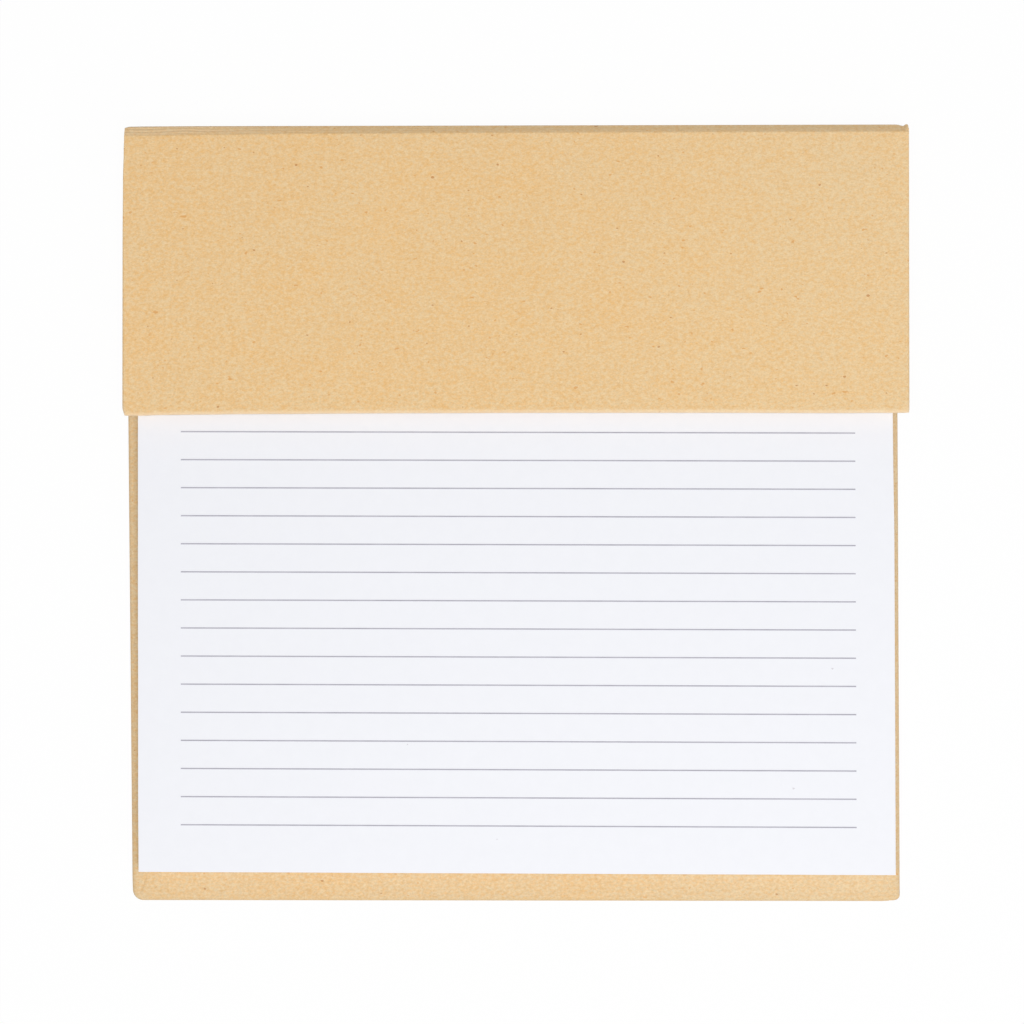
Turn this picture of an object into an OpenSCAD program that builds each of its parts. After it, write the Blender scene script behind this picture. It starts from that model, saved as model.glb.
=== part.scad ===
// Desktop notepad organizer: a kraft-covered board base with a ruled tear-off pad at the front,
// and at the back a shallow tray under a hinged cover flap that laps over the head of the pad.
// Axes: X to the right, Y to the back, Z up. The origin is the middle of the underside.

/* [Pad] */
// Width of a sheet
pad_w = 210; // [150:1:297]
// Depth of a sheet, from the free edge to the glued head
pad_d = 148; // [110:1:210]
// Thickness of the stack of sheets
pages_t = 7.6; // [3:0.1:20]
// Thickness of the card under the sheets
backing_t = 0.8; // [0.4:0.1:1.4]
// Thickness of the glue along the head
glue_t = 0.4; // [0.2:0.1:1]
// How much the pad is glued askew, clockwise in degrees
pad_turn = 0.18; // [0:0.01:0.5]
// How far the free edge of the sheets lies to the right of their head
pad_lean = 0.7; // [-1.5:0.1:1.5]
// Least clearance between the glued head and the tray wall
pad_gap = 0.4; // [0.1:0.1:2]
// How far the tray walls and the flap rise clear of the top sheet
head_room = 1.7; // [0.5:0.1:12]

/* [Ruling] */
// Distance between two lines
line_pitch = 7.79; // [5:0.01:12]
// Width of a printed line
line_w = 0.35; // [0.2:0.05:1]
// Thickness of the printed line
ink_t = 0.04; // [0.02:0.01:0.1]
// Blank margin at the left of the lines
line_left = 12.2; // [5:0.1:30]
// Blank margin at the right of the lines
line_right = 10.7; // [5:0.1:30]
// Blank margin at the free edge, up to the last line
line_foot = 13.1; // [6:0.1:30]
// Least blank margin at the glued head
line_head = 24; // [8:0.5:40]

/* [Base] */
// Thickness of the covered base board
base_t = 3; // [2.6:0.1:6]
// Base beyond the free edge of the pad, at the middle
front_margin = 8.3; // [5:0.1:20]
// Base beyond the left side of a pad that lies square, where the flap ends
margin_left = 3.7; // [1:0.1:12]
// Base beyond the right side of a pad that lies square, where the flap ends
margin_right = 1.8; // [1:0.1:12]
// Base beyond each side of a pad that lies square, at the front edge of the base
margin_corner = 2.1; // [0.5:0.1:12]
// Base beyond the outside of each side wall, at the back
margin_back = 1.2; // [0.4:0.1:1.8]
// Radius of the soft edges where the paper is wrapped round
base_edge_r = 1.2; // [0.4:0.1:1.3]
// Corner radius at the front left
corner_left_r = 3.4; // [1.4:0.1:8]
// Corner radius at the front right
corner_right_r = 1.4; // [1.4:0.1:8]

/* [Tray] */
// Clear depth of the tray, from front to back
tray_d = 53.5; // [35:0.5:90]
// Thickness of the tray walls
wall_t = 2.4; // [1.6:0.1:4]
// Radius along the top of the tray walls
wall_edge_r = 0.7; // [0.2:0.1:0.75]
// Distance from the side of the base to the outside of a side wall, where the flap ends
wall_inset = 1.6; // [0.2:0.1:8]
// Thickness of the lining papers
liner_t = 0.3; // [0.2:0.05:0.5]

/* [Cover] */
// Thickness of the covered flap
cover_t = 2.4; // [2:0.1:4]
// How far the flap laps over the head of the pad
cover_lap = 20.6; // [5:0.1:40]
// How far the flap stands out past the left side of the base
over_left = 0; // [0:0.1:5]
// How far the flap stands out past the right side of the base
over_right = 2.1; // [0:0.1:5]
// How far the left side of the flap is drawn in at the hinge
cover_taper = 0.4; // [0:0.1:2]
// Radius of the soft edges at the front of the flap
cover_edge_r = 0.9; // [0.3:0.1:0.95]
// Radius of the folded edges at the hinge of the flap
hinge_edge_r = 0.3; // [0.2:0.1:0.9]
// Corner radius of the flap
cover_corner_r = 1.2; // [1:0.1:6]
// Bare rim between the lining and the edge of the flap
liner_rim = 4; // [2:0.5:15]
// Air between the lining and the top of the tray walls
cover_gap = 0.2; // [0.1:0.05:1]

/* [Spine] */
// Thickness of the upright board at the back
spine_t = 2.2; // [1.8:0.1:4]
// Radius of the shoulder at the top of the spine, up to the spine's thickness
shoulder_r = 2.1; // [0.6:0.1:3]
// Radius at the foot of the spine
foot_r = 1; // [0.3:0.1:1.7]
// How much shorter than the flap's hinge edge the spine is at each end
spine_inset = 0.3; // [0:0.1:2]
// Width of the crease between the spine and the flap
hinge_gap = 0.3; // [0.2:0.1:1]
// How far the shoulder lies below the top of the flap
shoulder_drop = 0.3; // [0.3:0.1:1.5]

/* [Hidden] */
kraft = "#E6C18C";
kraft_lining = "#DDB57D";
paper_white = "#F2F3F7";
card_grey = "#B9B4AA";
glue_white = "#E8E6DF";
ink_grey = "#8E8E99";
$fn = 48;
arc_step = 15;
cut = 1;

// Widths and sides, counted from the middle of the flap
base_w = margin_left + pad_w + margin_right;
cover_w = over_left + base_w + over_right;
cover_back_w = cover_w - cover_taper;
hinge_mid_x = cover_taper / 2;
spine_w = cover_back_w - 2 * spine_inset;
base_left_x = over_left - cover_w / 2;
base_right_x = base_left_x + base_w;
pad_left_x = base_left_x + margin_left;
pad_right_x = pad_left_x + pad_w;
tray_outer_w = cover_w - 2 * max(over_left, over_right) - 2 * wall_inset;
tray_w = tray_outer_w - 2 * wall_t;
base_back_x = tray_outer_w / 2 + margin_back;

// Depths, from the front edge of the base to the back of the spine. head_swing is how far the turned
// pad reaches back at its left corner.
head_swing = pad_w / 2 * sin(pad_turn);
depth = front_margin + pad_d + glue_t + head_swing + pad_gap + wall_t + tray_d + spine_t;
front_y = -depth / 2;
spine_y = depth / 2 - spine_t;
tray_front_y = spine_y - tray_d;
front_wall_y = tray_front_y - wall_t;
pad_front_y = front_y + front_margin;
pad_head_y = pad_front_y + pad_d;
cover_front_y = pad_head_y - cover_lap;
cover_back_y = spine_y - hinge_gap;

// Heights above the surface that the organizer stands on
pages_z = base_t + backing_t;
pad_z = pages_z + pages_t;
wall_z = pad_z + head_room;
wall_h = wall_z - base_t;
liner_z = wall_z + cover_gap;
cover_z = liner_z + liner_t;
height = cover_z + cover_t;
spine_h = height - shoulder_drop;

// Lines that fit between the two blank margins
line_count = floor((pad_d - line_foot - line_head) / line_pitch) + 1;
line_len = pad_w - line_left - line_right;

// Sideways lean of the sheets at y, counted from the middle of the pad
function lean_at(y) = -pad_lean * y / pad_d;

// Outline of a board's edge, from its axis outwards: flat faces joined by two soft edges
function board_profile(plan_r, t, edge_r) = concat(
    [[0, 0]],
    [for (a = [-90:arc_step:0]) [plan_r - edge_r + edge_r * cos(a), edge_r + edge_r * sin(a)]],
    [for (a = [0:arc_step:90]) [plan_r - edge_r + edge_r * cos(a), t - edge_r + edge_r * sin(a)]],
    [[0, t]]);

// One corner of a covered board, with its outer point at [x, y] in the quarter that sx and sy name
module board_corner(x, y, sx, sy, plan_r, t, edge_r) {
    translate([x - sx * plan_r, y - sy * plan_r, 0])
        rotate_extrude($fn = 32)
            polygon(board_profile(plan_r, t, edge_r));
}

// What a rounded edge takes off the corner of a square section
module corner_cut(r) {
    difference() {
        translate([-cut, -cut]) square(r + cut);
        translate([r, r]) circle(r);
    }
}

// Section of a tray wall, rounded along its top
module wall_section() {
    difference() {
        square([wall_t, wall_h]);
        for (side = [0, 1])
            translate([side * wall_t, wall_h]) mirror([side, 0]) mirror([0, 1]) corner_cut(wall_edge_r);
    }
}

// A wall section drawn in X and Z, run along Y
module along_y(length) {
    translate([0, length, 0]) rotate([90, 0, 0]) linear_extrude(length) children();
}

// A section drawn in Y and Z, run along X about the middle
module along_x(length) {
    translate([-length / 2, 0, 0]) rotate([90, 0, 90]) linear_extrude(length) children();
}

// Base: a board wrapped in kraft paper, widest where the flap ends
module base_board() {
    color(kraft) hull() {
        base_corner(-base_back_x, spine_y, -1, 1, corner_right_r);
        base_corner(base_back_x, spine_y, 1, 1, corner_right_r);
        base_corner(base_left_x, cover_front_y, -1, 1, corner_right_r);
        base_corner(base_right_x, cover_front_y, 1, 1, corner_right_r);
        base_corner(pad_left_x - margin_corner, front_y, -1, -1, corner_left_r);
        base_corner(pad_right_x + margin_corner, front_y, 1, -1, corner_right_r);
    }
}

module base_corner(x, y, sx, sy, plan_r) {
    board_corner(x, y, sx, sy, plan_r, base_t, base_edge_r);
}

// Spine: the upright board behind the base, with a soft shoulder that the flap hinges on
module spine_board() {
    color(kraft) translate([hinge_mid_x, spine_y, 0]) along_x(spine_w) difference() {
        square([spine_t, spine_h]);
        translate([spine_t, spine_h]) mirror([1, 0]) mirror([0, 1]) corner_cut(min(shoulder_r, spine_t));
        translate([spine_t, 0]) mirror([1, 0]) corner_cut(foot_r);
    }
}

// Side walls of the tray
module side_wall(side) {
    color(kraft) translate([side * (tray_outer_w - wall_t) / 2 - wall_t / 2, front_wall_y, base_t])
        along_y(wall_t + tray_d) wall_section();
}

module left_wall() {
    side_wall(-1);
}

module right_wall() {
    side_wall(1);
}

// Front wall of the tray, between the side walls, against the head of the pad
module front_wall() {
    color(kraft) translate([0, front_wall_y, base_t]) along_x(tray_w) wall_section();
}

// Kraft paper that lines the floor of the tray
module tray_liner() {
    color(kraft_lining) translate([-tray_w / 2, tray_front_y, base_t]) cube([tray_w, tray_d, liner_t]);
}

// Places what belongs to the pad, drawn from the pad's middle at its true turn
module on_pad(z) {
    translate([(pad_left_x + pad_right_x) / 2, pad_front_y + pad_d / 2, z]) rotate([0, 0, -pad_turn])
        children();
}

// A layer of the pad from y0 to y1, with the lean of the sheets
module pad_layer(y0, y1, t) {
    linear_extrude(t) polygon([
        [lean_at(y0) - pad_w / 2, y0],
        [lean_at(y0) + pad_w / 2, y0],
        [lean_at(y1) + pad_w / 2, y1],
        [lean_at(y1) - pad_w / 2, y1]
    ]);
}

// Card under the sheets
module backing_card() {
    color(card_grey) on_pad(base_t) pad_layer(-pad_d / 2, pad_d / 2, backing_t);
}

// The stack of sheets
module page_block() {
    color(paper_white) on_pad(pages_z) pad_layer(-pad_d / 2, pad_d / 2, pages_t);
}

// Padding glue that holds the sheets and the card together along the head
module head_glue() {
    color(glue_white) on_pad(base_t) pad_layer(pad_d / 2, pad_d / 2 + glue_t, pad_z - base_t);
}

// Ruling printed on the top sheet, counted from the free edge towards the head
module ruled_lines() {
    color(ink_grey) on_pad(pad_z) for (i = [0:line_count - 1]) {
        y = line_foot + i * line_pitch - pad_d / 2;
        translate([lean_at(y) + line_left - pad_w / 2, y - line_w / 2, 0]) cube([line_len, line_w, ink_t]);
    }
}

// Flap: a board wrapped in kraft paper, hinged along its back edge
module cover_flap() {
    color(kraft) translate([0, 0, cover_z]) hull() for (side = [-1, 1]) {
        cover_corner(hinge_mid_x + side * cover_back_w / 2, cover_back_y, side, 1, hinge_edge_r);
        cover_corner(side * cover_w / 2, cover_front_y, side, -1, cover_edge_r);
    }
}

module cover_corner(x, y, sx, sy, edge_r) {
    board_corner(x, y, sx, sy, cover_corner_r, cover_t, edge_r);
}

// Kraft paper that lines the underside of the flap, inside a bare rim
module cover_liner() {
    liner_w = cover_back_w - 2 * liner_rim;
    liner_d = cover_back_y - cover_front_y - 2 * liner_rim;
    color(kraft_lining) translate([hinge_mid_x - liner_w / 2, cover_front_y + liner_rim, liner_z])
        cube([liner_w, liner_d, liner_t]);
}

base_board();
spine_board();
left_wall();
right_wall();
front_wall();
tray_liner();
backing_card();
page_block();
head_glue();
ruled_lines();
cover_flap();
cover_liner();
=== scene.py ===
"""Desktop notepad organizer: kraft-covered boards, a ruled pad of separate sheets and a paper hinge.

Lengths are metres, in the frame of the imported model: X to the right, Y to the back, Z up.
"""

import math
import random

import bpy
from mathutils import Euler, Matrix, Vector, noise


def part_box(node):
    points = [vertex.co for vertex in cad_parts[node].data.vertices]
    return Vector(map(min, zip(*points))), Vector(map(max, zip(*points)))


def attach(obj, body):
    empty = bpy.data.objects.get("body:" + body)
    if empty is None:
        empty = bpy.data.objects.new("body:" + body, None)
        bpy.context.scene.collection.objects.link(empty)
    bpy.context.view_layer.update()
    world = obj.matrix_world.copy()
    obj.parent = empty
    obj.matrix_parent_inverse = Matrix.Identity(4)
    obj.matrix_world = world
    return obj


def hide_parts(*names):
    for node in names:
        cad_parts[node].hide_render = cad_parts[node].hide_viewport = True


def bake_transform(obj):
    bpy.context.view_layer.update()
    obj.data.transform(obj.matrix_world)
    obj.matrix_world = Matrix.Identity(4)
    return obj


MM = 0.001
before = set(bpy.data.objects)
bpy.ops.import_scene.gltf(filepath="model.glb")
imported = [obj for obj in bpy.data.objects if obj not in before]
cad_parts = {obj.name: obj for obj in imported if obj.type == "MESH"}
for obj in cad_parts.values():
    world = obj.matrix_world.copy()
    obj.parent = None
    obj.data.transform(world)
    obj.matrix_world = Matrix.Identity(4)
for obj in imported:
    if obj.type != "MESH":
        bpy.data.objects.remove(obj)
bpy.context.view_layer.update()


# Camera, light and stage

CAMERA_AT = (0.01665, -0.02006, 1.0114)
CAMERA_TILT = (math.radians(1.183), math.radians(1.008), math.radians(-0.01))
SENSOR_WIDTH = 36.0
FOCAL_LENGTH = 126.83
OVERHEAD_AT = (0.03, -0.26, 1.45)
OVERHEAD_SIZE = 0.7
OVERHEAD_POWER = 13.35
FILL_AT = (0.50, -0.78, 0.72)
FILL_SIZE = 0.55
FILL_POWER = 2.0
SKY_STRENGTH = 0.29
FLOOR_SIZE = 6.0
FLOOR_DROP = 0.02 * MM
FLOOR_GLOW = 0.96
FLOOR_COLOUR = (0.93, 0.93, 0.93, 1)
WHITE = (1, 1, 1, 1)


def add_camera():
    """A long lens straight above, tilted as little as the ruled lines show."""
    data = bpy.data.cameras.new("camera")
    data.sensor_width = SENSOR_WIDTH
    data.lens = FOCAL_LENGTH
    camera = bpy.data.objects.new("camera", data)
    camera.location = CAMERA_AT
    camera.rotation_euler = Euler(CAMERA_TILT, "XYZ")
    bpy.context.scene.collection.objects.link(camera)
    bpy.context.scene.camera = camera


def add_soft_box(name, place, size, power):
    """A square soft box, aimed at the organizer."""
    data = bpy.data.lights.new(name, "AREA")
    data.shape = "SQUARE"
    data.size = size
    data.energy = power
    lamp = bpy.data.objects.new(name, data)
    lamp.location = place
    lamp.rotation_euler = (-Vector(place)).to_track_quat("-Z", "Y").to_euler()
    bpy.context.scene.collection.objects.link(lamp)


def add_sky():
    """Even white light from all round, which the camera sees as plain white."""
    world = bpy.data.worlds.new("sky")
    bpy.context.scene.world = world
    world.use_nodes = True
    graph = Graph(world.node_tree)
    lit = graph.add("ShaderNodeBackground", Color=WHITE, Strength=SKY_STRENGTH)
    seen = graph.add("ShaderNodeBackground", Color=WHITE, Strength=1.0)
    rays = graph.seen_directly()
    both = graph.add("ShaderNodeMixShader", {0: rays, 1: lit["Background"], 2: seen["Background"]})
    graph.add("ShaderNodeOutputWorld", Surface=both["Shader"])


def add_floor():
    """A white floor that keeps a faint shadow of the organizer."""
    half = FLOOR_SIZE / 2
    corners = [(-half, -half), (half, -half), (half, half), (-half, half)]
    floor = new_object("floor", [(x, y, -FLOOR_DROP) for x, y in corners], [(0, 1, 2, 3)])
    graph = new_material("floor_white")
    lit = graph.add("ShaderNodeBsdfDiffuse", Color=FLOOR_COLOUR)
    seen = graph.add("ShaderNodeEmission", Color=WHITE, Strength=1.0)
    share = graph.math("MULTIPLY", graph.seen_directly(), FLOOR_GLOW)
    both = graph.add("ShaderNodeMixShader", {0: share, 1: lit["BSDF"], 2: seen["Emission"]})
    graph.add("ShaderNodeOutputMaterial", Surface=both["Shader"])
    floor.data.materials.append(graph.material)


# Node graphs


class Sockets:
    """A node whose outputs are read by name, as node["Fac"]."""

    def __init__(self, node):
        self.node = node

    def __getitem__(self, name):
        return self.node.outputs[name]


class Graph:
    """A short way to write a node tree."""

    def __init__(self, tree):
        self.tree = tree
        tree.nodes.clear()

    def add(self, kind, numbered=None, settings=None, **named):
        """Adds a node. Inputs are given by number or by name, as a value or as another node's output."""
        node = self.tree.nodes.new(kind)
        for key, value in (settings or {}).items():
            setattr(node, key, value)
        inputs = {**(numbered or {}), **{key.replace("_", " "): value for key, value in named.items()}}
        for key, value in inputs.items():
            if isinstance(value, bpy.types.NodeSocket):
                self.tree.links.new(value, node.inputs[key])
            else:
                node.inputs[key].default_value = value
        return Sockets(node)

    def math(self, operation, first, second=0.0, clamp=False):
        settings = {"operation": operation, "use_clamp": clamp}
        return self.add("ShaderNodeMath", {0: first, 1: second}, settings)["Value"]

    def weighted(self, *pairs):
        """The sum of some values, each times its weight."""
        total = None
        for value, weight in pairs:
            part = self.math("MULTIPLY", value, weight)
            total = self.math("ADD", total, part) if total else part
        return total

    def seen_directly(self):
        """1 for what the camera sees, also in gloss or through glass, and 0 for all other light."""
        path = self.add("ShaderNodeLightPath")
        gloss = self.math("ADD", path["Is Camera Ray"], path["Is Glossy Ray"], clamp=True)
        return self.math("ADD", gloss, path["Is Transmission Ray"], clamp=True)

    def millimetres(self, stretch=(1, 1, 1), turn=0.0):
        """The place on the piece in millimetres, turned about Z and then stretched."""
        place = self.add("ShaderNodeTexCoord")["Object"]
        turned = self.add("ShaderNodeMapping", Vector=place, Rotation=(0, 0, turn))["Vector"]
        scale = [1 / (MM * s) for s in stretch]
        return self.add("ShaderNodeMapping", Vector=turned, Scale=scale)["Vector"]

    def noise(self, place, density, detail=2.0, roughness=0.5, offset=0.0):
        """Smooth noise from 0 to 1, with a density in features per millimetre. An offset gives another."""
        if offset:
            shift = {0: place, 1: (offset, offset, offset)}
            place = self.add("ShaderNodeVectorMath", shift)["Vector"]
        return self.add("ShaderNodeTexNoise", Vector=place, Scale=density, Detail=detail,
                        Roughness=roughness)["Fac"]

    def ramp(self, value, low, high, to_low=0.0, to_high=1.0, eased=True):
        """value from low to high becomes to_low to to_high, clamped, and eased unless told otherwise."""
        settings = {"interpolation_type": "SMOOTHSTEP" if eased else "LINEAR", "clamp": True}
        named = {"Value": value, "From Min": low, "From Max": high, "To Min": to_low, "To Max": to_high}
        return self.add("ShaderNodeMapRange", named, settings)["Result"]

    def mix(self, share, first, second, blend="MIX"):
        settings = {"data_type": "RGBA", "blend_type": blend}
        node = self.add("ShaderNodeMix", {0: share, 6: first, 7: second}, settings)
        return node.node.outputs[2]

    def finish(self, colour, roughness, relief, strength, depth, specular):
        """Ends a material with its colour, roughness, relief and gloss."""
        bump = self.add("ShaderNodeBump", Strength=strength, Distance=depth, Height=relief)
        surface = self.add("ShaderNodeBsdfPrincipled", Base_Color=colour, Roughness=roughness,
                           Normal=bump["Normal"], **{"Specular IOR Level": specular})
        self.add("ShaderNodeOutputMaterial", Surface=surface["BSDF"])
        return self.material


def new_material(name):
    """The graph of a new named material, still empty."""
    material = bpy.data.materials.new(name)
    material.use_nodes = True
    graph = Graph(material.node_tree)
    graph.material = material
    return graph


def shade(red, green, blue):
    """A colour as it is seen on screen, from 0 to 255, as the linear colour that a shader takes."""
    return tuple(linear(c / 255) for c in (red, green, blue)) + (1.0,)


def linear(c):
    return c / 12.92 if c <= 0.04045 else ((c + 0.055) / 1.055) ** 2.4


# Kraft paper

# A density is in features per millimetre, and a band is where in its noise a mark starts and is full.
PAPER_STRETCH = (1.4, 1, 1)
CLOUD_DENSITY, MOTTLE_DENSITY, GRAIN_DENSITY, HUE_DENSITY = 0.07, 0.95, 2.6, 1.3
EVEN_BAND = (0.3, 0.7)
HUE_BAND, CLOUD_HUE = (0.22, 0.78), 0.05
# Painted sheen: the kraft is made a little paler towards the right, where more light falls.
PAINTED_SHEEN_TO_THE_RIGHT = 0.001
TONE_BAND, TONE_SPREAD = (0.2, 0.8), 0.17
GRAIN_TONE, MOTTLE_TONE, CLOUD_TONE = 0.76, 0.12, 0.12
GRAIN_RELIEF, FIBRE_RELIEF, MOTTLE_RELIEF = 0.6, 0.35, 0.4
KRAFT_BUMP, KRAFT_DEPTH, KRAFT_SPECULAR = 0.35, 0.03 * MM, 0.25
KRAFT_ROUGHNESS = (0.78, 0.92)
# The last colour here, for pale edges, stands for rubbing and also for painted highlight and painted light.
FLECK, SPECK, WORN_AND_LIT = shade(224, 160, 88), shade(190, 122, 62), shade(252, 232, 204)
FLECK_DENSITY, FLECK_BAND, FLECK_SHARE = 0.8, (0.72, 0.8), 0.7
SPECK_DENSITY, SPECK_BAND, SPECK_SHARE = 0.85, (0.84, 0.88), 0.65
FIBRE_STRETCH, FIBRE_BAND, FIBRE_SHARE = (3.4, 0.34, 0.34), (0.69, 0.77), 0.16
FIBRE_TURNS = (0.12, 1.25, 2.3)
# How far the pale-edge attribute pales the paper, which is partly rubbing and partly painted light.
WEAR_AND_LIGHT_SHARE = 0.55


def fibre_marks(graph):
    """1 on short fibres that lie in three directions, and 0 between them."""
    fibres = 0.0
    for number, turn in enumerate(FIBRE_TURNS):
        along = graph.millimetres(FIBRE_STRETCH, turn)
        strand = graph.ramp(graph.noise(along, 1.0, detail=1, offset=17 * number + 3), *FIBRE_BAND)
        fibres = graph.math("MAXIMUM", fibres, strand)
    return fibres


def kraft_hue(graph, place, cloud, beige, orange):
    """Mottling between two hues, with a painted sheen that makes it a little less orange towards the right.
    """
    across = graph.add("ShaderNodeSeparateXYZ", Vector=graph.millimetres())["X"]
    to_the_right = graph.math("MAXIMUM", across, 0.0)
    hue = graph.noise(place, HUE_DENSITY, detail=1, offset=53)
    hue = graph.math("ADD", hue, graph.math("MULTIPLY", to_the_right, -PAINTED_SHEEN_TO_THE_RIGHT))
    hue = graph.math("ADD", hue, graph.ramp(cloud, *EVEN_BAND, -CLOUD_HUE, CLOUD_HUE))
    return graph.mix(graph.ramp(hue, *HUE_BAND, eased=False), beige, orange)


def kraft_material(name, beige, orange):
    """Unbleached kraft paper: mottling, fine grain, flecks, short fibres and specks, with a painted sheen
    towards the right and pale edges that are partly rubbing and partly painted light.
    """
    graph = new_material(name)
    place = graph.millimetres(PAPER_STRETCH)
    cloud = graph.noise(place, CLOUD_DENSITY, detail=3, roughness=0.6)
    mottle = graph.noise(place, MOTTLE_DENSITY, detail=2, roughness=0.6, offset=7)
    grain = graph.noise(place, GRAIN_DENSITY, detail=2, roughness=0.7, offset=31)
    colour = kraft_hue(graph, place, cloud, beige, orange)
    tone = graph.weighted((grain, GRAIN_TONE), (mottle, MOTTLE_TONE), (cloud, CLOUD_TONE))
    tone = graph.ramp(tone, *TONE_BAND, 1 - TONE_SPREAD, 1 + TONE_SPREAD, eased=False)
    colour = graph.mix(1.0, colour, tone, "MULTIPLY")
    flecks = graph.ramp(graph.noise(place, FLECK_DENSITY, detail=1, offset=11), *FLECK_BAND)
    fibres = fibre_marks(graph)
    specks = graph.ramp(graph.noise(place, SPECK_DENSITY, detail=0, offset=71), *SPECK_BAND)
    # Pale marks from an attribute: rubbing together with painted highlight and painted light.
    rubbed_and_lit = graph.add("ShaderNodeAttribute", settings={"attribute_name": "wear_and_painted_light"})["Fac"]
    for marks, share, paint in ((flecks, FLECK_SHARE, FLECK), (fibres, FIBRE_SHARE, SPECK),
                                (specks, SPECK_SHARE, SPECK), (rubbed_and_lit, WEAR_AND_LIGHT_SHARE, WORN_AND_LIT)):
        colour = graph.mix(graph.math("MULTIPLY", marks, share), colour, paint)
    relief = graph.weighted((grain, GRAIN_RELIEF), (fibres, FIBRE_RELIEF), (mottle, MOTTLE_RELIEF))
    roughness = graph.ramp(grain, *EVEN_BAND, *KRAFT_ROUGHNESS)
    return graph.finish(colour, roughness, relief, KRAFT_BUMP, KRAFT_DEPTH, KRAFT_SPECULAR)


KRAFT = kraft_material("kraft_paper", shade(240, 211, 165), shade(237, 192, 130))
PALE_KRAFT = kraft_material("kraft_paper_pale", shade(232, 207, 167), shade(229, 188, 132))
KRAFT_LINING = kraft_material("kraft_lining", shade(230, 201, 156), shade(226, 182, 121))


# White paper, card, glue and ink

PAPER_CLOUD_DENSITY = 0.25
LAYER_STRETCH, LAYER_BAND = (30, 30, 0.3), (0.42, 0.66)
PAPER_BUMP, PAPER_SPECULAR = 0.3, 0.3
INK_STRETCH = (6, 0.4, 0.4)
INK_BUMP, INK_DEPTH, INK_ROUGHNESS = 0.15, 0.01 * MM, 0.6


def paper_material(name, pale, deep, density, depth, roughness, layer_shade=None):
    """Smooth uncoated paper or card with a faint fibre cloud and, on the sides of a cut stack, grey layer
    lines painted as the shade between sheets.
    """
    graph = new_material(name)
    place = graph.millimetres()
    cloud = graph.noise(place, PAPER_CLOUD_DENSITY, detail=3, roughness=0.6)
    fine = graph.noise(place, density, detail=3, roughness=0.6, offset=19)
    tone = graph.weighted((cloud, 0.5), (fine, 0.5))
    colour = graph.mix(graph.ramp(tone, *EVEN_BAND), deep, pale)
    # Painted shade: grey lines on the sides of a cut stack, where the gaps between sheets would lie in
    # shadow.
    if layer_shade:
        stack = graph.millimetres(LAYER_STRETCH)
        layers = graph.ramp(graph.noise(stack, 1.0, detail=2, roughness=0.7), *LAYER_BAND)
        normal = graph.add("ShaderNodeNewGeometry")["Normal"]
        upright = graph.add("ShaderNodeSeparateXYZ", Vector=normal)["Z"]
        on_the_side = graph.math("SUBTRACT", 1.0, graph.math("ABSOLUTE", upright), clamp=True)
        colour = graph.mix(graph.math("MULTIPLY", layers, on_the_side), colour, layer_shade)
    rough = graph.ramp(fine, *EVEN_BAND, *roughness)
    return graph.finish(colour, rough, fine, PAPER_BUMP, depth, PAPER_SPECULAR)


def ink_material(name, pale, deep):
    """Printed ink or fine dirt that takes a little unevenly along X."""
    graph = new_material(name)
    cover = graph.noise(graph.millimetres(INK_STRETCH), 1.0, detail=3, roughness=0.7)
    colour = graph.mix(graph.ramp(cover, *EVEN_BAND), deep, pale)
    return graph.finish(colour, INK_ROUGHNESS, cover, INK_BUMP, INK_DEPTH, PAPER_SPECULAR)


WHITE_PAPER = paper_material("white_paper", shade(245, 246, 251), shade(243, 244, 249), density=3.0,
                             depth=0.01 * MM, roughness=(0.5, 0.62), layer_shade=shade(214, 213, 217))
GREY_CARD = paper_material("grey_card", shade(196, 190, 180), shade(176, 169, 158), density=2.0,
                           depth=0.04 * MM, roughness=(0.8, 0.95))
PADDING_GLUE = paper_material("padding_glue", shade(236, 234, 228), shade(226, 223, 214), density=0.8,
                              depth=0.08 * MM, roughness=(0.35, 0.5))
GREY_INK = ink_material("grey_ink", shade(187, 185, 196), shade(169, 167, 179))
PALE_DIRT = ink_material("pale_dirt", shade(226, 224, 229), shade(217, 214, 220))


# Curves and wander


def ease(t):
    """From 0 at t = 0 to 1 at t = 1, flat at both ends."""
    t = min(max(t, 0.0), 1.0)
    return t * t * (3 - 2 * t)


def profile_at(points, distance):
    """Value at a distance along a list of (distance, value), eased from point to point.

    The lists of this kind below are in millimetres.
    """
    for (d0, v0), (d1, v1) in zip(points, points[1:]):
        if distance <= d1:
            return v0 + (v1 - v0) * ease((distance - d0) / (d1 - d0))
    return points[-1][1]


def line_at(points, y):
    """x at y on a line through points, each (y, x), in rising y."""
    for (y0, x0), (y1, x1) in zip(points, points[1:]):
        if y <= y1:
            break
    return x0 + (x1 - x0) * (y - y0) / (y1 - y0)


def graded(length, first, growth, widest):
    """Stations from 0 to length that lie closest together at both ends."""
    half = [0.0]
    step = first
    while half[-1] + step < length / 2:
        half.append(half[-1] + step)
        step = min(step * growth, widest)
    return half + [length - s for s in reversed(half)]


SEED_STEP = 7.31


def ripple(x, y, seed, size):
    """Smooth wander from about -1 to 1, with features of the given size."""
    return noise.noise(Vector((x / size, y / size, seed * SEED_STEP)))


def ripple_from_zero(x, y, seed, size):
    """The same wander, moved to run from about 0 to 1."""
    return 0.5 + 0.5 * ripple(x, y, seed, size)


def bezier(p0, p1, p2, p3, t):
    return p0 * (1 - t) ** 3 + p1 * 3 * t * (1 - t) ** 2 + p2 * 3 * t * t * (1 - t) + p3 * t ** 3


# Mesh helpers

QUARTER_STEPS = 6
SHARP_EDGE = math.radians(40)
END_ROUNDING_STEPS = 5


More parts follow.
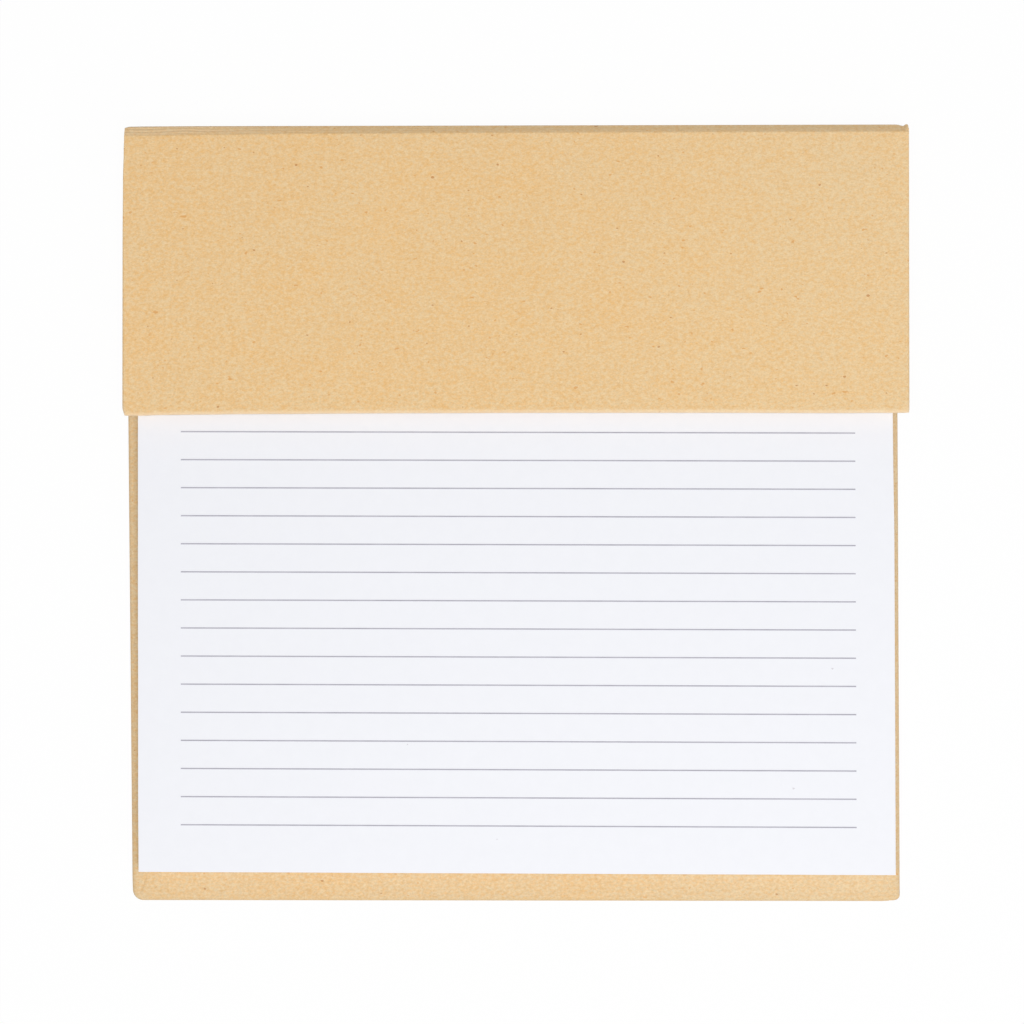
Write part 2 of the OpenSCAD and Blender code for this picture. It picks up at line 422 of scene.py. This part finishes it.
def new_object(name, points, faces, material=None, smooth=False):
    """A mesh object at the origin, with its place in its points."""
    mesh = bpy.data.meshes.new(name)
    mesh.from_pydata(points, [], faces)
    mesh.update()
    if smooth:
        mesh.shade_smooth()
    if material:
        mesh.materials.append(material)
    made = bpy.data.objects.new(name, mesh)
    bpy.context.scene.collection.objects.link(made)
    return made


def set_wear_and_painted_light(piece, values):
    """Says how pale each point of a piece is made, from 0 to 1, for the kraft material: rubbing together
    with painted highlight and painted light.
    """
    piece.data.attributes.new("wear_and_painted_light", "FLOAT", "POINT").data.foreach_set("value", values)


def finish_piece(piece, body, slot, *nodes):
    """Puts a finished piece on its body and hides the CAD nodes that it stands for. slot is not used."""
    if body:
        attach(piece, body)
    if nodes:
        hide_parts(*nodes)


def add_prism(points, faces, ring, low, high):
    """Adds the solid between two heights over a ring of points that runs anticlockwise."""
    start, size = len(points), len(ring)
    points += [(x, y, low) for x, y in ring]
    points += [(x, y, high) for x, y in ring]
    faces += [(start + k, start + (k + 1) % size, start + size + (k + 1) % size, start + size + k)
              for k in range(size)]
    faces.append(tuple(reversed(range(start, start + size))))
    faces.append(tuple(range(start + size, start + 2 * size)))


def along_x(distance, a, b):
    return (distance, a, b)


def along_y(distance, a, b):
    return (a, distance, b)


def swept(name, section, stations, place, material, shape=None):
    """A closed section run past stations, each (distance, inset), and capped at both ends.

    place turns (distance, a, b) into x, y, z, and shape moves each finished point.
    """
    mid_a = (min(a for a, b in section) + max(a for a, b in section)) / 2
    mid_b = (min(b for a, b in section) + max(b for a, b in section)) / 2
    half_a = max(a for a, b in section) - mid_a
    half_b = max(b for a, b in section) - mid_b
    points = []
    for distance, inset in stations:
        for a, b in section:
            points.append(place(distance, mid_a + (a - mid_a) * (1 - inset / half_a),
                                mid_b + (b - mid_b) * (1 - inset / half_b)))
    count = len(section)
    faces = []
    for i in range(len(stations) - 1):
        for j in range(count):
            k = (j + 1) % count
            faces.append((i * count + j, i * count + k, (i + 1) * count + k, (i + 1) * count + j))
    faces.append(tuple(reversed(range(count))))
    faces.append(tuple(range((len(stations) - 1) * count, len(stations) * count)))
    if shape:
        points = [shape(*point) for point in points]
    made = new_object(name, points, faces, material, smooth=True)
    made.data.set_sharp_from_angle(angle=SHARP_EDGE)
    return made


def softened_ends(length, radius, spacing):
    """Stations along a bar whose two ends are rounded by radius."""
    start = []
    for k in range(END_ROUNDING_STEPS):
        turn = k / END_ROUNDING_STEPS * math.pi / 2
        start.append((radius * (1 - math.cos(turn)), radius * (1 - math.sin(turn))))
    count = max(2, round((length - 2 * radius) / spacing))
    middle = [(radius + (length - 2 * radius) * k / count, 0.0) for k in range(count + 1)]
    return start + middle + [(length - s, inset) for s, inset in reversed(start)]


def arc_points(centre, radius, start, end, steps):
    """Points on an arc, with angles counted from straight up towards +a."""
    turns = [start + (end - start) * k / steps for k in range(steps + 1)]
    return [(centre[0] + radius * math.sin(t), centre[1] + radius * math.cos(t)) for t in turns]


# Covered boards

# Pale board edges: partly rubbing, partly a painted highlight where the rounded edges catch the light,
# strongest at the flap's front.
WEAR_AND_LIGHT_REACH = 0.15 * MM
LEAST_WORN_AND_LIT = 0.25
FRONT_WEAR_AND_HIGHLIGHT_DEPTH = 3 * MM
LONGEST_MITRE = 1.25
BOARD_STEPS = (0.05 * MM, 1.06, 4 * MM)
SQUEEZE_SLOPE, SQUEEZE_START = 1.6, 0.3


class Outline:
    """A board's plan: two nearly straight sides between a front and a back edge, with rounded corners.

    Each side is a list of (y, x) from front to back. The radii are those of the corners, seen from above,
    and the edges are the radii to which the front and back edges are softened.
    """

    def __init__(self, left, right, front_radii, back_radius, front_edge, back_edge):
        self.left, self.right = left, right
        self.front, self.back = left[0][0], left[-1][0]
        self.front_radii, self.back_radius = front_radii, back_radius
        self.front_edge, self.back_edge = front_edge, back_edge

    def edge(self, y):
        """Radius of the soft edge at y."""
        share = (y - self.front) / (self.back - self.front)
        return self.front_edge + (self.back_edge - self.front_edge) * min(max(share, 0.0), 1.0)

    def side(self, y, hand):
        """x of the flat face's limit at y, on the left (-1) or on the right (1)."""
        points = self.left if hand < 0 else self.right
        radius = self.front_radii[0 if hand < 0 else 1]
        front = (self.front + radius, radius, self.front_edge, -1)
        back = (self.back - self.back_radius, self.back_radius, self.back_edge, 1)
        for centre_y, r, edge, end in (front, back):
            beyond = end * (y - centre_y)
            if beyond > 0:
                centre_x = line_at(points, centre_y) - hand * r
                share = min(beyond / max(r - edge, 1e-9), 1.0)
                return centre_x + hand * (r - edge) * math.sqrt(1 - share * share)
        return line_at(points, y) - hand * self.edge(y)


def board_plan(outline):
    """Points of a board's flat face in rows from the front, and how far each lies inside its edge.

    Where a row is narrower than the widest one, its middle takes up the difference.
    """
    front, back = outline.front + outline.front_edge, outline.back - outline.back_edge
    rows = [front + s for s in graded(back - front, *BOARD_STEPS)]
    widths = [outline.side(y, 1) - outline.side(y, -1) for y in rows]
    widest = max(widths)
    columns = graded(widest, *BOARD_STEPS)
    plan, inside = [], []
    for y, width in zip(rows, widths):
        left = outline.side(y, -1)
        for s in columns:
            squeezed = ease(s / widest * SQUEEZE_SLOPE - SQUEEZE_START)
            plan.append((left + s + (width - widest) * squeezed, y))
            inside.append(min(s, columns[-1] - s, y - front, back - y))
    return plan, inside, len(columns), len(rows)


def rim_of(wide, deep):
    """Numbers of the points round a grid, anticlockwise from its front left corner."""
    rim = list(range(wide))
    rim += [i * wide + wide - 1 for i in range(1, deep)]
    rim += [(deep - 1) * wide + j for j in range(wide - 2, -1, -1)]
    rim += [i * wide for i in range(deep - 2, 0, -1)]
    return rim


def outward_normals(loop):
    """Normals of a closed anticlockwise loop of points, a little longer where it turns a sharp corner."""
    normals = []
    for k in range(len(loop)):
        before, here, after = (Vector(loop[(k + d) % len(loop)]) for d in (-1, 0, 1))
        first, second = (here - before).normalized(), (after - here).normalized()
        along = (first + second).normalized()
        reach = 1 / max(along.dot(first), 1 / LONGEST_MITRE)
        normals.append((along.y * reach, -along.x * reach))
    return normals


def covered_board(name, outline, low, high, material, shape, front_wear_and_highlight, wear_and_painted_light):
    """A board wrapped in paper: two flat faces that soft edges join. shape moves each finished point.

    front_wear_and_highlight says how pale its front edge is made, from 0 to 1, by rubbing and by painted
    highlight, and wear says the same of the other edges.
    """
    plan, inside, wide, deep = board_plan(outline)
    front = plan[0][1]
    edge_wear_and_highlight = [wear_and_painted_light + (front_wear_and_highlight - wear_and_painted_light) * ease(1 - (y - front) / FRONT_WEAR_AND_HIGHLIGHT_DEPTH) for x, y in plan]
    worn_and_lit = [LEAST_WORN_AND_LIT * here * math.exp(-within / WEAR_AND_LIGHT_REACH) for here, within in zip(edge_wear_and_highlight, inside)]
    points = [(x, y, high) for x, y in plan]
    faces = [(i * wide + j, i * wide + j + 1, (i + 1) * wide + j + 1, (i + 1) * wide + j)
             for i in range(deep - 1) for j in range(wide - 1)]
    rim = rim_of(wide, deep)
    outward = outward_normals([plan[k] for k in rim])
    rings = [rim]
    quarter = [k / QUARTER_STEPS * math.pi / 2 for k in range(QUARTER_STEPS + 1)]
    for below, turns in ((False, quarter[1:]), (True, quarter[:-1])):
        for turn in turns:
            ring = []
            for k, (nx, ny) in zip(rim, outward):
                x, y = plan[k]
                edge = outline.edge(y)
                out = edge * (math.cos(turn) if below else math.sin(turn))
                drop = high - low - edge + edge * math.sin(turn) if below else edge * (1 - math.cos(turn))
                ring.append(len(points))
                points.append((x + nx * out, y + ny * out, high - drop))
                # Palest towards the side of the rounded edge, partly rubbing and partly painted highlight.
                rub_and_light = math.cos(turn) if below else LEAST_WORN_AND_LIT + (1 - LEAST_WORN_AND_LIT) * math.sin(turn)
                worn_and_lit.append(edge_wear_and_highlight[k] * rub_and_light)
            rings.append(ring)
    under = len(points)
    points += [(x, y, low) for x, y in plan]
    worn_and_lit += [0.0] * len(plan)
    faces += [tuple(under + k for k in reversed(face)) for face in faces]
    rings.append([under + k for k in rim])
    for upper, lower in zip(rings, rings[1:]):
        for a in range(len(rim)):
            b = (a + 1) % len(rim)
            faces.append((upper[a], lower[a], lower[b], upper[b]))
    board = new_object(name, [shape(*point) for point in points], faces, material, smooth=True)
    set_wear_and_painted_light(board, worn_and_lit)
    return board


# Places read from the frame

base_low, base_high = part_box("base_board")
spine_low, spine_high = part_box("spine_board")
flap_low, flap_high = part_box("cover_flap")
pages_low, pages_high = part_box("page_block")


def ends_near(node, y, reach=2 * MM):
    """Lowest and highest x of a node's points within reach of y."""
    xs = [v.co.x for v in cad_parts[node].data.vertices if abs(v.co.y - y) < reach]
    return min(xs), max(xs)


# Base board

BASE_EDGE = 1.2 * MM
BASE_CORNERS, BACK_CORNERS = (3.0 * MM, 1.45 * MM), 1.4 * MM
# The base's edges are paled a little, partly by rubbing and partly as a painted highlight.
BASE_WEAR_AND_HIGHLIGHT = 0.1
LEFT_SPREAD = 0.1 * MM
CORNER_DRAWN_IN, CORNER_REACH = 0.15 * MM, 7 * MM
SIDE_WANDER, SIDE_REACH = 0.02 * MM, 6 * MM
FOOT_WANDER, FOOT_REACH = 0.04 * MM, 4 * MM
WANDER_SIZE = 26 * MM
FOOT_RISE = ((0, 0.34), (0.7, 0.32), (2.4, 0.18), (3.8, 0.06), (5.2, 0))
FOLD_DEPTH, FOLD_WIDTH = 0.14 * MM, 0.27 * MM
FOLD_LAP, FOLD_LAP_REACH = 0.35, 3 * MM
FOLD_FADE = 0.1
FOLD_STARTS = ((2.0 * MM, 2.0 * MM), (0.7 * MM, 0.7 * MM))
FOLD_ENDS = ((4.6 * MM, 9.0 * MM), (5.4 * MM, 9.0 * MM))


def mitre_fold(x, y, start, end):
    """Height of a fold line from start to end, with the lapped paper a little proud on one side of it."""
    along = end - start
    reach = (Vector((x, y)) - start).dot(along) / along.length_squared
    if not -FOLD_FADE < reach < 1 + FOLD_FADE:
        return 0.0
    off = (x - start.x) * along.y / along.length - (y - start.y) * along.x / along.length
    fade = ease((reach + FOLD_FADE) / (2 * FOLD_FADE)) * ease((1 + FOLD_FADE - reach) / (2 * FOLD_FADE))
    groove = -FOLD_DEPTH * math.exp(-((off / FOLD_WIDTH) ** 2))
    lap = FOLD_LAP * FOLD_DEPTH * ease(off / (2 * FOLD_WIDTH)) * ease(1 - off / FOLD_LAP_REACH)
    return fade * (groove + lap)


def base_shape(x, y, z):
    """Mitre folds of the paper at the front corners, and edges that wander a little."""
    if z > base_high.z - BASE_EDGE / 2:
        for hand, corner, begin, finish in zip((-1, 1), BASE_FRONT, FOLD_STARTS, FOLD_ENDS):
            start = Vector((corner - hand * begin[0], base_low.y + begin[1]))
            end = Vector((corner - hand * finish[0], base_low.y + finish[1]))
            z += mitre_fold(x, y, start, end)
    front = ease(1 - (y - base_low.y) / FOOT_REACH)
    y += front * MM * profile_at(FOOT_RISE, (BASE_FRONT[1] - x) / MM)
    y += front * FOOT_WANDER * ripple_from_zero(x, 0, seed=1, size=WANDER_SIZE)
    side = ease(1 - min(base_high.x - x, x - base_low.x) / SIDE_REACH)
    x -= side * math.copysign(SIDE_WANDER * ripple_from_zero(0, y, seed=2, size=WANDER_SIZE), x)
    if x < 0:
        x += side * CORNER_DRAWN_IN * ease(1 - (y - base_low.y) / CORNER_REACH)
    return x, y, z


BASE_FRONT = ends_near("base_board", base_low.y, 4 * MM)
BASE_BACK = ends_near("base_board", base_high.y)
base_left = [(base_low.y, BASE_FRONT[0] - LEFT_SPREAD), (flap_low.y, base_low.x),
             (base_high.y, BASE_BACK[0])]
base_right = [(base_low.y, BASE_FRONT[1]), (flap_low.y, ends_near("base_board", flap_low.y)[1]),
              (base_high.y, BASE_BACK[1])]
base_plan = Outline(base_left, base_right, BASE_CORNERS, BACK_CORNERS, BASE_EDGE, BASE_EDGE)
base = covered_board("base_board_wrapped", base_plan, base_low.z, base_high.z, PALE_KRAFT, base_shape,
                     front_wear_and_highlight=0.0, wear_and_painted_light=BASE_WEAR_AND_HIGHLIGHT)
finish_piece(base, "case", "kraft_paper", "base_board")


# Line of the hinge paper

CREASE_Y = 105.62 * MM
CREASE_BOW = ((0, 0.64), (8, 0.58), (22, 0.4), (50, 0.15), (105, 0), (160, -0.07), (217, -0.07))
CREASE_BEFORE, CREASE_AFTER = 0.35 * MM, 1.3 * MM
SLOPE_END = (0.42 * MM, 1.72 * MM)
SHOULDER_END = 1.0 * MM
LEFT_LIFT, LIFT_REACH = 0.3 * MM, 85 * MM
slope_end = (spine_high.y - SLOPE_END[0], flap_high.z - SLOPE_END[1])
slope_fall = SLOPE_END[1] / (slope_end[0] - CREASE_Y)


def crease_y(x):
    """y of the crease at the back of the flap, which bows forward at the left."""
    return CREASE_Y - MM * profile_at(CREASE_BOW, (x - flap_low.x) / MM)


def section_height(y):
    """Height of the hinge paper where the crease is straight: level, round the crease and down a slope."""
    past = y - CREASE_Y
    if past <= -CREASE_BEFORE:
        return flap_high.z
    if past >= CREASE_AFTER:
        return flap_high.z - slope_fall * past
    spare = CREASE_AFTER - CREASE_BEFORE
    t = (math.sqrt(CREASE_BEFORE ** 2 + spare * (past + CREASE_BEFORE)) - CREASE_BEFORE) / spare
    return flap_high.z - slope_fall * CREASE_AFTER * t * t


def lifted(x, z):
    """Height of a point on the slope or the shoulder, where the slope falls less steeply at the left."""
    down = (flap_high.z - z) / SLOPE_END[1]
    if down > 1:
        down = max(0.0, 1 - (down - 1) * SLOPE_END[1] / SHOULDER_END)
    return z + LEFT_LIFT * ease(1 - (x - flap_low.x) / LIFT_REACH) * down


def hinge_height(x, y):
    """Height of the hinge paper at a place on the finished, bowed crease."""
    bend = crease_y(x)
    if y < bend:
        return lifted(x, section_height(y + CREASE_Y - bend))
    along = (y - bend) * (slope_end[0] - CREASE_Y) / (slope_end[0] - bend)
    return lifted(x, section_height(CREASE_Y + along))


# Flap

FLAP_EDGE, FLAP_HINGE_EDGE = 0.9 * MM, 0.3 * MM
# The flap's front edge is paled fully, as rubbing and as a painted highlight; its other edges only a
# little.
FRONT_WEAR_AND_HIGHLIGHT, FLAP_WEAR_AND_HIGHLIGHT = 1.0, 0.15
DROOP = ((0, 0.72), (6, 0.66), (10, 0.5), (22, 0.4), (35, 0.27), (77, 0.08), (110, 0), (160, 0.03),
         (200, 0.16), (207, 0.1), (218, 0.1))
DROOP_REACH = 60 * MM
TAPER = ((0, 0.42), (4.3, 0.3), (12.7, 0.1), (29.5, 0))
TAPER_REACH = 30 * MM
NIP_IN, NIP_ALONG, NIP_REACH = 0.5 * MM, 2.4 * MM, 5 * MM
SAG, SAG_SIZE, SAG_REACH = 0.05 * MM, 60 * MM, 12 * MM
UNDER_HINGE_PAPER = 0.024 * MM


def flap_shape(x, y, z):
    """The front edge hangs forward at the left, where the corner is nipped in, and the back edge dips."""
    from_left = x - flap_low.x
    from_front = y - flap_low.y
    from_back = flap_high.y - y
    droop = MM * profile_at(DROOP, from_left / MM)
    nip = NIP_IN * ease(1 - from_front / NIP_ALONG) * ease(1 - from_left / NIP_REACH)
    taper = MM * profile_at(TAPER, from_back / MM) * ease(1 - from_left / TAPER_REACH)
    sag = SAG * ripple_from_zero(x, y, seed=3, size=SAG_SIZE) * ease(from_back / SAG_REACH)
    z = min(z - sag, hinge_height(x, y) - UNDER_HINGE_PAPER)
    return x + nip + taper, y - droop * ease(1 - from_front / DROOP_REACH), z


flap_left = [(flap_low.y, flap_low.x), (flap_high.y, flap_low.x)]
flap_right = [(flap_low.y, flap_high.x), (flap_high.y, flap_high.x)]
flap_plan = Outline(flap_left, flap_right, (FLAP_EDGE, FLAP_EDGE), FLAP_HINGE_EDGE,
                    FLAP_EDGE, FLAP_HINGE_EDGE)
flap = covered_board("cover_flap_wrapped", flap_plan, flap_low.z, flap_high.z, KRAFT, flap_shape,
                     front_wear_and_highlight=FRONT_WEAR_AND_HIGHLIGHT, wear_and_painted_light=FLAP_WEAR_AND_HIGHLIGHT)
finish_piece(flap, "cover", "kraft_paper", "cover_flap")


# Spine

SPINE_FOOT = 1.0 * MM
SPINE_INSET = 0.008 * MM
UNDER_SLOPE = 0.42 * MM
SHOULDER_CUT = (0.1 * MM, 0.6 * MM)
SLOPE_CUT = (0.2 * MM, 0.2 * MM)
END_STEPS = (0.08 * MM, 1.07, 2 * MM)
LEFT_END = ((0, 0.45), (0.45, 0.32), (1.0, 0.16), (1.6, 0.1), (5.7, 0.05), (21, 0))
RIGHT_END = ((0, 1.4), (0.2, 0.33), (0.5, 0.02), (0.8, 0), (1.05, 0.15), (1.3, 0.35), (1.6, 0.35),
             (2.15, 0.26), (2.7, 0.07), (3.6, 0))
ENDS_FROM, ENDS_RISE = 9 * MM, 4 * MM
hinge_left = flap_low.x + MM * TAPER[0][1]


def end_shape(x, y, z):
    """The paper is folded in at both ends of the shoulder and leaves a small ear at the right."""
    drawn_in = profile_at(LEFT_END, (x - hinge_left) / MM) + profile_at(RIGHT_END, (flap_high.x - x) / MM)
    height = ease((z - ENDS_FROM) / ENDS_RISE)
    if y > CREASE_Y:
        y -= MM * drawn_in * height * (y - CREASE_Y) / (spine_high.y - CREASE_Y)
    return x, y, z


def spine_shape(x, y, z):
    """The board's top lies close under the sloping paper."""
    return end_shape(x, y, min(z, hinge_height(x, y) - UNDER_SLOPE))


def end_stations(low, high):
    """Stations along X, close together at both ends."""
    return [(low + s, 0.0) for s in graded(high - low, *END_STEPS)]


def spine_section():
    """The spine's section: a rounded foot, an upright back, and a top cut to the shoulder and the slope."""
    face = spine_high.y - SPINE_INSET
    foot = (face - SPINE_FOOT, spine_low.z + SPINE_FOOT)
    section = [(spine_low.y, spine_low.z)]
    section += arc_points(foot, SPINE_FOOT, math.pi, math.pi / 2, QUARTER_STEPS)
    section.append((face, slope_end[1] - SHOULDER_END))
    section.append((face - SHOULDER_CUT[0], slope_end[1] - SHOULDER_CUT[1]))
    section.append((slope_end[0] - SLOPE_CUT[0], slope_end[1] - SLOPE_CUT[1]))
    section.append((spine_low.y, flap_high.z))
    return section


spine = swept("spine_board_wrapped", spine_section(), end_stations(spine_low.x, spine_high.x), along_x,
              KRAFT, spine_shape)
finish_piece(spine, "case", "kraft_paper", "spine_board")


# Paper hinge

HINGE_PAPER = 0.2 * MM
HINGE_LAP, HINGE_TAIL = 0.9 * MM, 0.4 * MM
SLOPE_STEPS, SHOULDER_STEPS = 44, 8
SHOULDER_FULLNESS = 0.9
BUCKLE, BUCKLE_SIZE = 0.04 * MM, 14 * MM
BUCKLE_MEAN, BUCKLE_SPREAD = 0.6, 0.5
BUCKLES_START, BUCKLES_END = 0.25, 0.8 * MM
BUCKLED_LEFT, MORE_AT_LEFT = 70 * MM, 1.4
WAVES, WAVE_WANDER, WAVE_SIZE = 2.6, 0.4, 11 * MM
EAR_WIDTH, EAR_LIFT = 1.25 * MM, 0.75
EAR_START, EAR_LOWEST = 0.5, 0.5 * MM
# The hinge slope is paled partly by rubbing and partly as painted light where it faces away from the lamps,
# more at the left, with pale streaks painted where buckles would catch the light.
HINGE_RUBBED_AND_LIT, LEFT_RUBBED_AND_LIT, STREAKED, LEAST_STREAKED = 0.1, 0.2, 0.5, 0.3
STREAK_LENGTH, STREAK_WIDTH, STREAK_SEED = 9 * MM, 0.4 * MM, 4.7


def hinge_profile():
    """The hinge paper's outer line: along the flap, over the crease, down the slope, round the shoulder."""
    end = Vector(slope_end)
    start = CREASE_Y - HINGE_LAP
    ys = [start + (end.x - start) * k / SLOPE_STEPS for k in range(SLOPE_STEPS)]
    line = [Vector((y, section_height(y))) for y in ys]
    corner = Vector((spine_high.y, end.y - (spine_high.y - end.x) * SHOULDER_FULLNESS))
    low = Vector((spine_high.y, end.y - SHOULDER_END))
    line += [bezier(end, corner, corner, low, k / SHOULDER_STEPS) for k in range(SHOULDER_STEPS + 1)]
    line.append(Vector((spine_high.y, end.y - SHOULDER_END - HINGE_TAIL)))
    return line


def hinge_section():
    """The hinge paper's inner line, one paper thickness inside its outer line, and then the outer line."""
    outer = hinge_profile()
    inner = []
    for k, point in enumerate(outer):
        ahead = outer[min(k + 1, len(outer) - 1)] - outer[max(k - 1, 0)]
        inward = Vector((ahead.y, -ahead.x)).normalized()
        inner.append(point + inward * HINGE_PAPER)
    return [tuple(p) for p in inner] + [tuple(p) for p in reversed(outer)]


def to_the_left(x):
    """1 at the left end of the hinge, falling to 0 where its paper lies smooth."""
    return ease(1 - (x - hinge_left) / BUCKLED_LEFT)


def hinge_shape(x, y, z):
    """The bowed crease, fine buckles along the slope, and the ear that stands up at the right."""
    reach = (y - CREASE_Y) / (slope_end[0] - CREASE_Y)
    buckled = ease(reach / BUCKLES_START) * ease((z - slope_end[1] + BUCKLES_END) / BUCKLES_END)
    wander = WAVE_WANDER * ripple(x, 0, seed=5, size=WAVE_SIZE)
    wave = math.sin(2 * math.pi * (reach * WAVES + wander))
    spread = BUCKLE_MEAN + BUCKLE_SPREAD * ripple(x, y, seed=6, size=BUCKLE_SIZE)
    depth = BUCKLE * spread * (1 + MORE_AT_LEFT * to_the_left(x))
    z = lifted(x, z) - buckled * depth * (1 + wave)
    y -= (CREASE_Y - crease_y(x)) * (1 - min(max(reach, 0.0), 1.0))
    lift = EAR_LIFT * ease(1 - (flap_high.x - x) / EAR_WIDTH) * ease(reach / EAR_START)
    if z > slope_end[1] - EAR_LOWEST:
        z += (flap_high.z - z) * lift
    return end_shape(x, y, z)


def hinge_wear_and_painted_light(x, y):
    """Past the crease the paper is paled by some rubbing and by painted light on its slope, more so at the
    left, with painted light along fine streaks.
    """
    left = to_the_left(x)
    streak = max(noise.noise(Vector((x / STREAK_LENGTH, y / STREAK_WIDTH, STREAK_SEED))), 0.0)
    streaked = STREAKED * (LEAST_STREAKED + (1 - LEAST_STREAKED) * left) * streak
    rubbed_and_lit = HINGE_RUBBED_AND_LIT + LEFT_RUBBED_AND_LIT * left + streaked
    return rubbed_and_lit * ease((y - crease_y(x) + CREASE_BEFORE) / (2 * CREASE_BEFORE))


hinge = swept("paper_hinge", hinge_section(), end_stations(hinge_left, flap_high.x), along_x, KRAFT,
              hinge_shape)
set_wear_and_painted_light(hinge, [hinge_wear_and_painted_light(vertex.co.x, vertex.co.y) for vertex in hinge.data.vertices])
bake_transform(hinge)
finish_piece(hinge, None, "kraft_paper")


# Tray walls

WALL_EDGE, WALL_END, WALL_STEP = 0.7 * MM, 0.25 * MM, 2 * MM


def wall_section(low_a, high_a, low_z, high_z):
    """A wall's section, rounded along its top."""
    section = [(low_a, low_z), (high_a, low_z)]
    top = high_z - WALL_EDGE
    section += arc_points((high_a - WALL_EDGE, top), WALL_EDGE, math.pi / 2, 0, QUARTER_STEPS)
    section += arc_points((low_a + WALL_EDGE, top), WALL_EDGE, 0, -math.pi / 2, QUARTER_STEPS)
    return section


def add_wall(node, place, axis):
    """A covered wall with slightly softened ends, in the place of its CAD node."""
    low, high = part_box(node)
    across = 1 - axis
    section = wall_section(low[across], high[across], low.z, high.z)
    ends = softened_ends(high[axis] - low[axis], WALL_END, WALL_STEP)
    stations = [(low[axis] + s, inset) for s, inset in ends]
    if axis == 1:
        stations.reverse()
    wall = swept(node + "_wrapped", section, stations, place, KRAFT)
    finish_piece(wall, "case", "kraft_paper", node)


add_wall("left_wall", along_y, 1)
add_wall("right_wall", along_y, 1)
add_wall("front_wall", along_x, 0)


# The pad

SHEET, SHEET_GAP = 0.095 * MM, 0.04
SHEET_SLIP, FOOT_SLIP = 0.05 * MM, 1.6
SHEET_SEED = 8
HELD_REACH = 30 * MM
EDGE_WANDER, EDGE_WANDER_SIZE, EDGE_STEPS = 0.05 * MM, 30 * MM, 24
RIGHT_DRAWN_IN, RIGHT_FROM, RIGHT_TO = 0.3 * MM, -10 * MM, 22 * MM
LEFT_DRAWN_IN = ((-100, 0.5), (-78, 0.37), (0, 0.28), (50, 0.28))
CRUMBS = ((87.7, -42.8, 0.31), (76.9, -75.9, 0.36), (-5.1, -90.0, 0.2), (-29.9, -63.8, 0.22))
CRUMB_STEPS, CRUMB_THICKNESS = 10, 0.03 * MM
CRUMB_WAVE, CRUMB_FLATNESS = 0.3, 0.7


def pad_corner(hand, end):
    """The block's corner furthest to the left (-1) or right (1) and to the foot (-1) or head (1)."""
    corner = max(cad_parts["page_block"].data.vertices, key=lambda v: hand * v.co.x + end * v.co.y)
    return Vector(corner.co.xy)


def sheet_outline(number, corners, slip_x, slip_y):
    """Points round one sheet, anticlockwise, with edges that wander by less than its thickness."""
    middle = sum(corners, Vector((0, 0))) / 4
    points = []
    for start, end in zip(corners, corners[1:] + corners[:1]):
        for k in range(EDGE_STEPS):
            x, y = start.lerp(end, k / EDGE_STEPS)
            inward = EDGE_WANDER * abs(ripple(x, y, number, EDGE_WANDER_SIZE))
            free = ease((pages_high.y - y) / HELD_REACH)
            if x > middle.x:
                x -= RIGHT_DRAWN_IN * ease((y - RIGHT_FROM) / (RIGHT_TO - RIGHT_FROM))
            else:
                x += MM * profile_at(LEFT_DRAWN_IN, y / MM)
            x += slip_x * free - math.copysign(inward, x - middle.x)
            y += slip_y * free + inward if y < middle.y else 0.0
            points.append((x, y))
    return points


def add_pages():
    """The stack of sheets, which are held at the head and lie a little unevenly towards the foot."""
    random.seed(SHEET_SEED)
    count = round((pages_high.z - pages_low.z) / SHEET)
    pitch = (pages_high.z - pages_low.z) / count
    corners = [pad_corner(-1, -1), pad_corner(1, -1), pad_corner(1, 1), pad_corner(-1, 1)]
    points, faces = [], []
    for number in range(count):
        slip_x = SHEET_SLIP * random.uniform(-1, 1)
        slip_y = SHEET_SLIP * random.uniform(0, FOOT_SLIP)
        if number == count - 1:
            slip_x = slip_y = 0.0
        ring = sheet_outline(number, corners, slip_x, slip_y)
        bottom = pages_low.z + number * pitch
        add_prism(points, faces, ring, bottom + SHEET_GAP * pitch, bottom + pitch)
    pages = new_object("page_sheets", points, faces, WHITE_PAPER)
    finish_piece(pages, "case", "white_paper", "page_block")


def add_crumbs():
    """Specks of dirt on the top sheet, each a thin flat crumb with a wavy edge, as (x, y, size) in mm."""
    points, faces = [], []
    for number, (x, y, size) in enumerate(CRUMBS):
        ring = []
        for k in range(CRUMB_STEPS):
            turn = k / CRUMB_STEPS * 2 * math.pi
            reach = size * MM * (1 + CRUMB_WAVE * math.sin(3 * turn + number))
            ring.append((x * MM + reach * math.cos(turn), y * MM + CRUMB_FLATNESS * reach * math.sin(turn)))
        add_prism(points, faces, ring, pages_high.z, pages_high.z + CRUMB_THICKNESS)
    crumbs = new_object("paper_specks", points, faces, PALE_DIRT)
    finish_piece(crumbs, "case", "grey_ink")


add_pages()
add_crumbs()


# Pieces that keep their CAD shape

CAD_SHAPED = {"tray_liner": KRAFT_LINING, "cover_liner": KRAFT_LINING, "backing_card": GREY_CARD,
              "head_glue": PADDING_GLUE, "ruled_lines": GREY_INK}
for node, material in CAD_SHAPED.items():
    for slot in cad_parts[node].material_slots:
        slot.material = material


# Stage

add_camera()
add_soft_box("overhead", OVERHEAD_AT, OVERHEAD_SIZE, OVERHEAD_POWER)
add_soft_box("fill", FILL_AT, FILL_SIZE, FILL_POWER)
add_sky()
add_floor()
bpy.context.scene.view_settings.view_transform = "Standard"
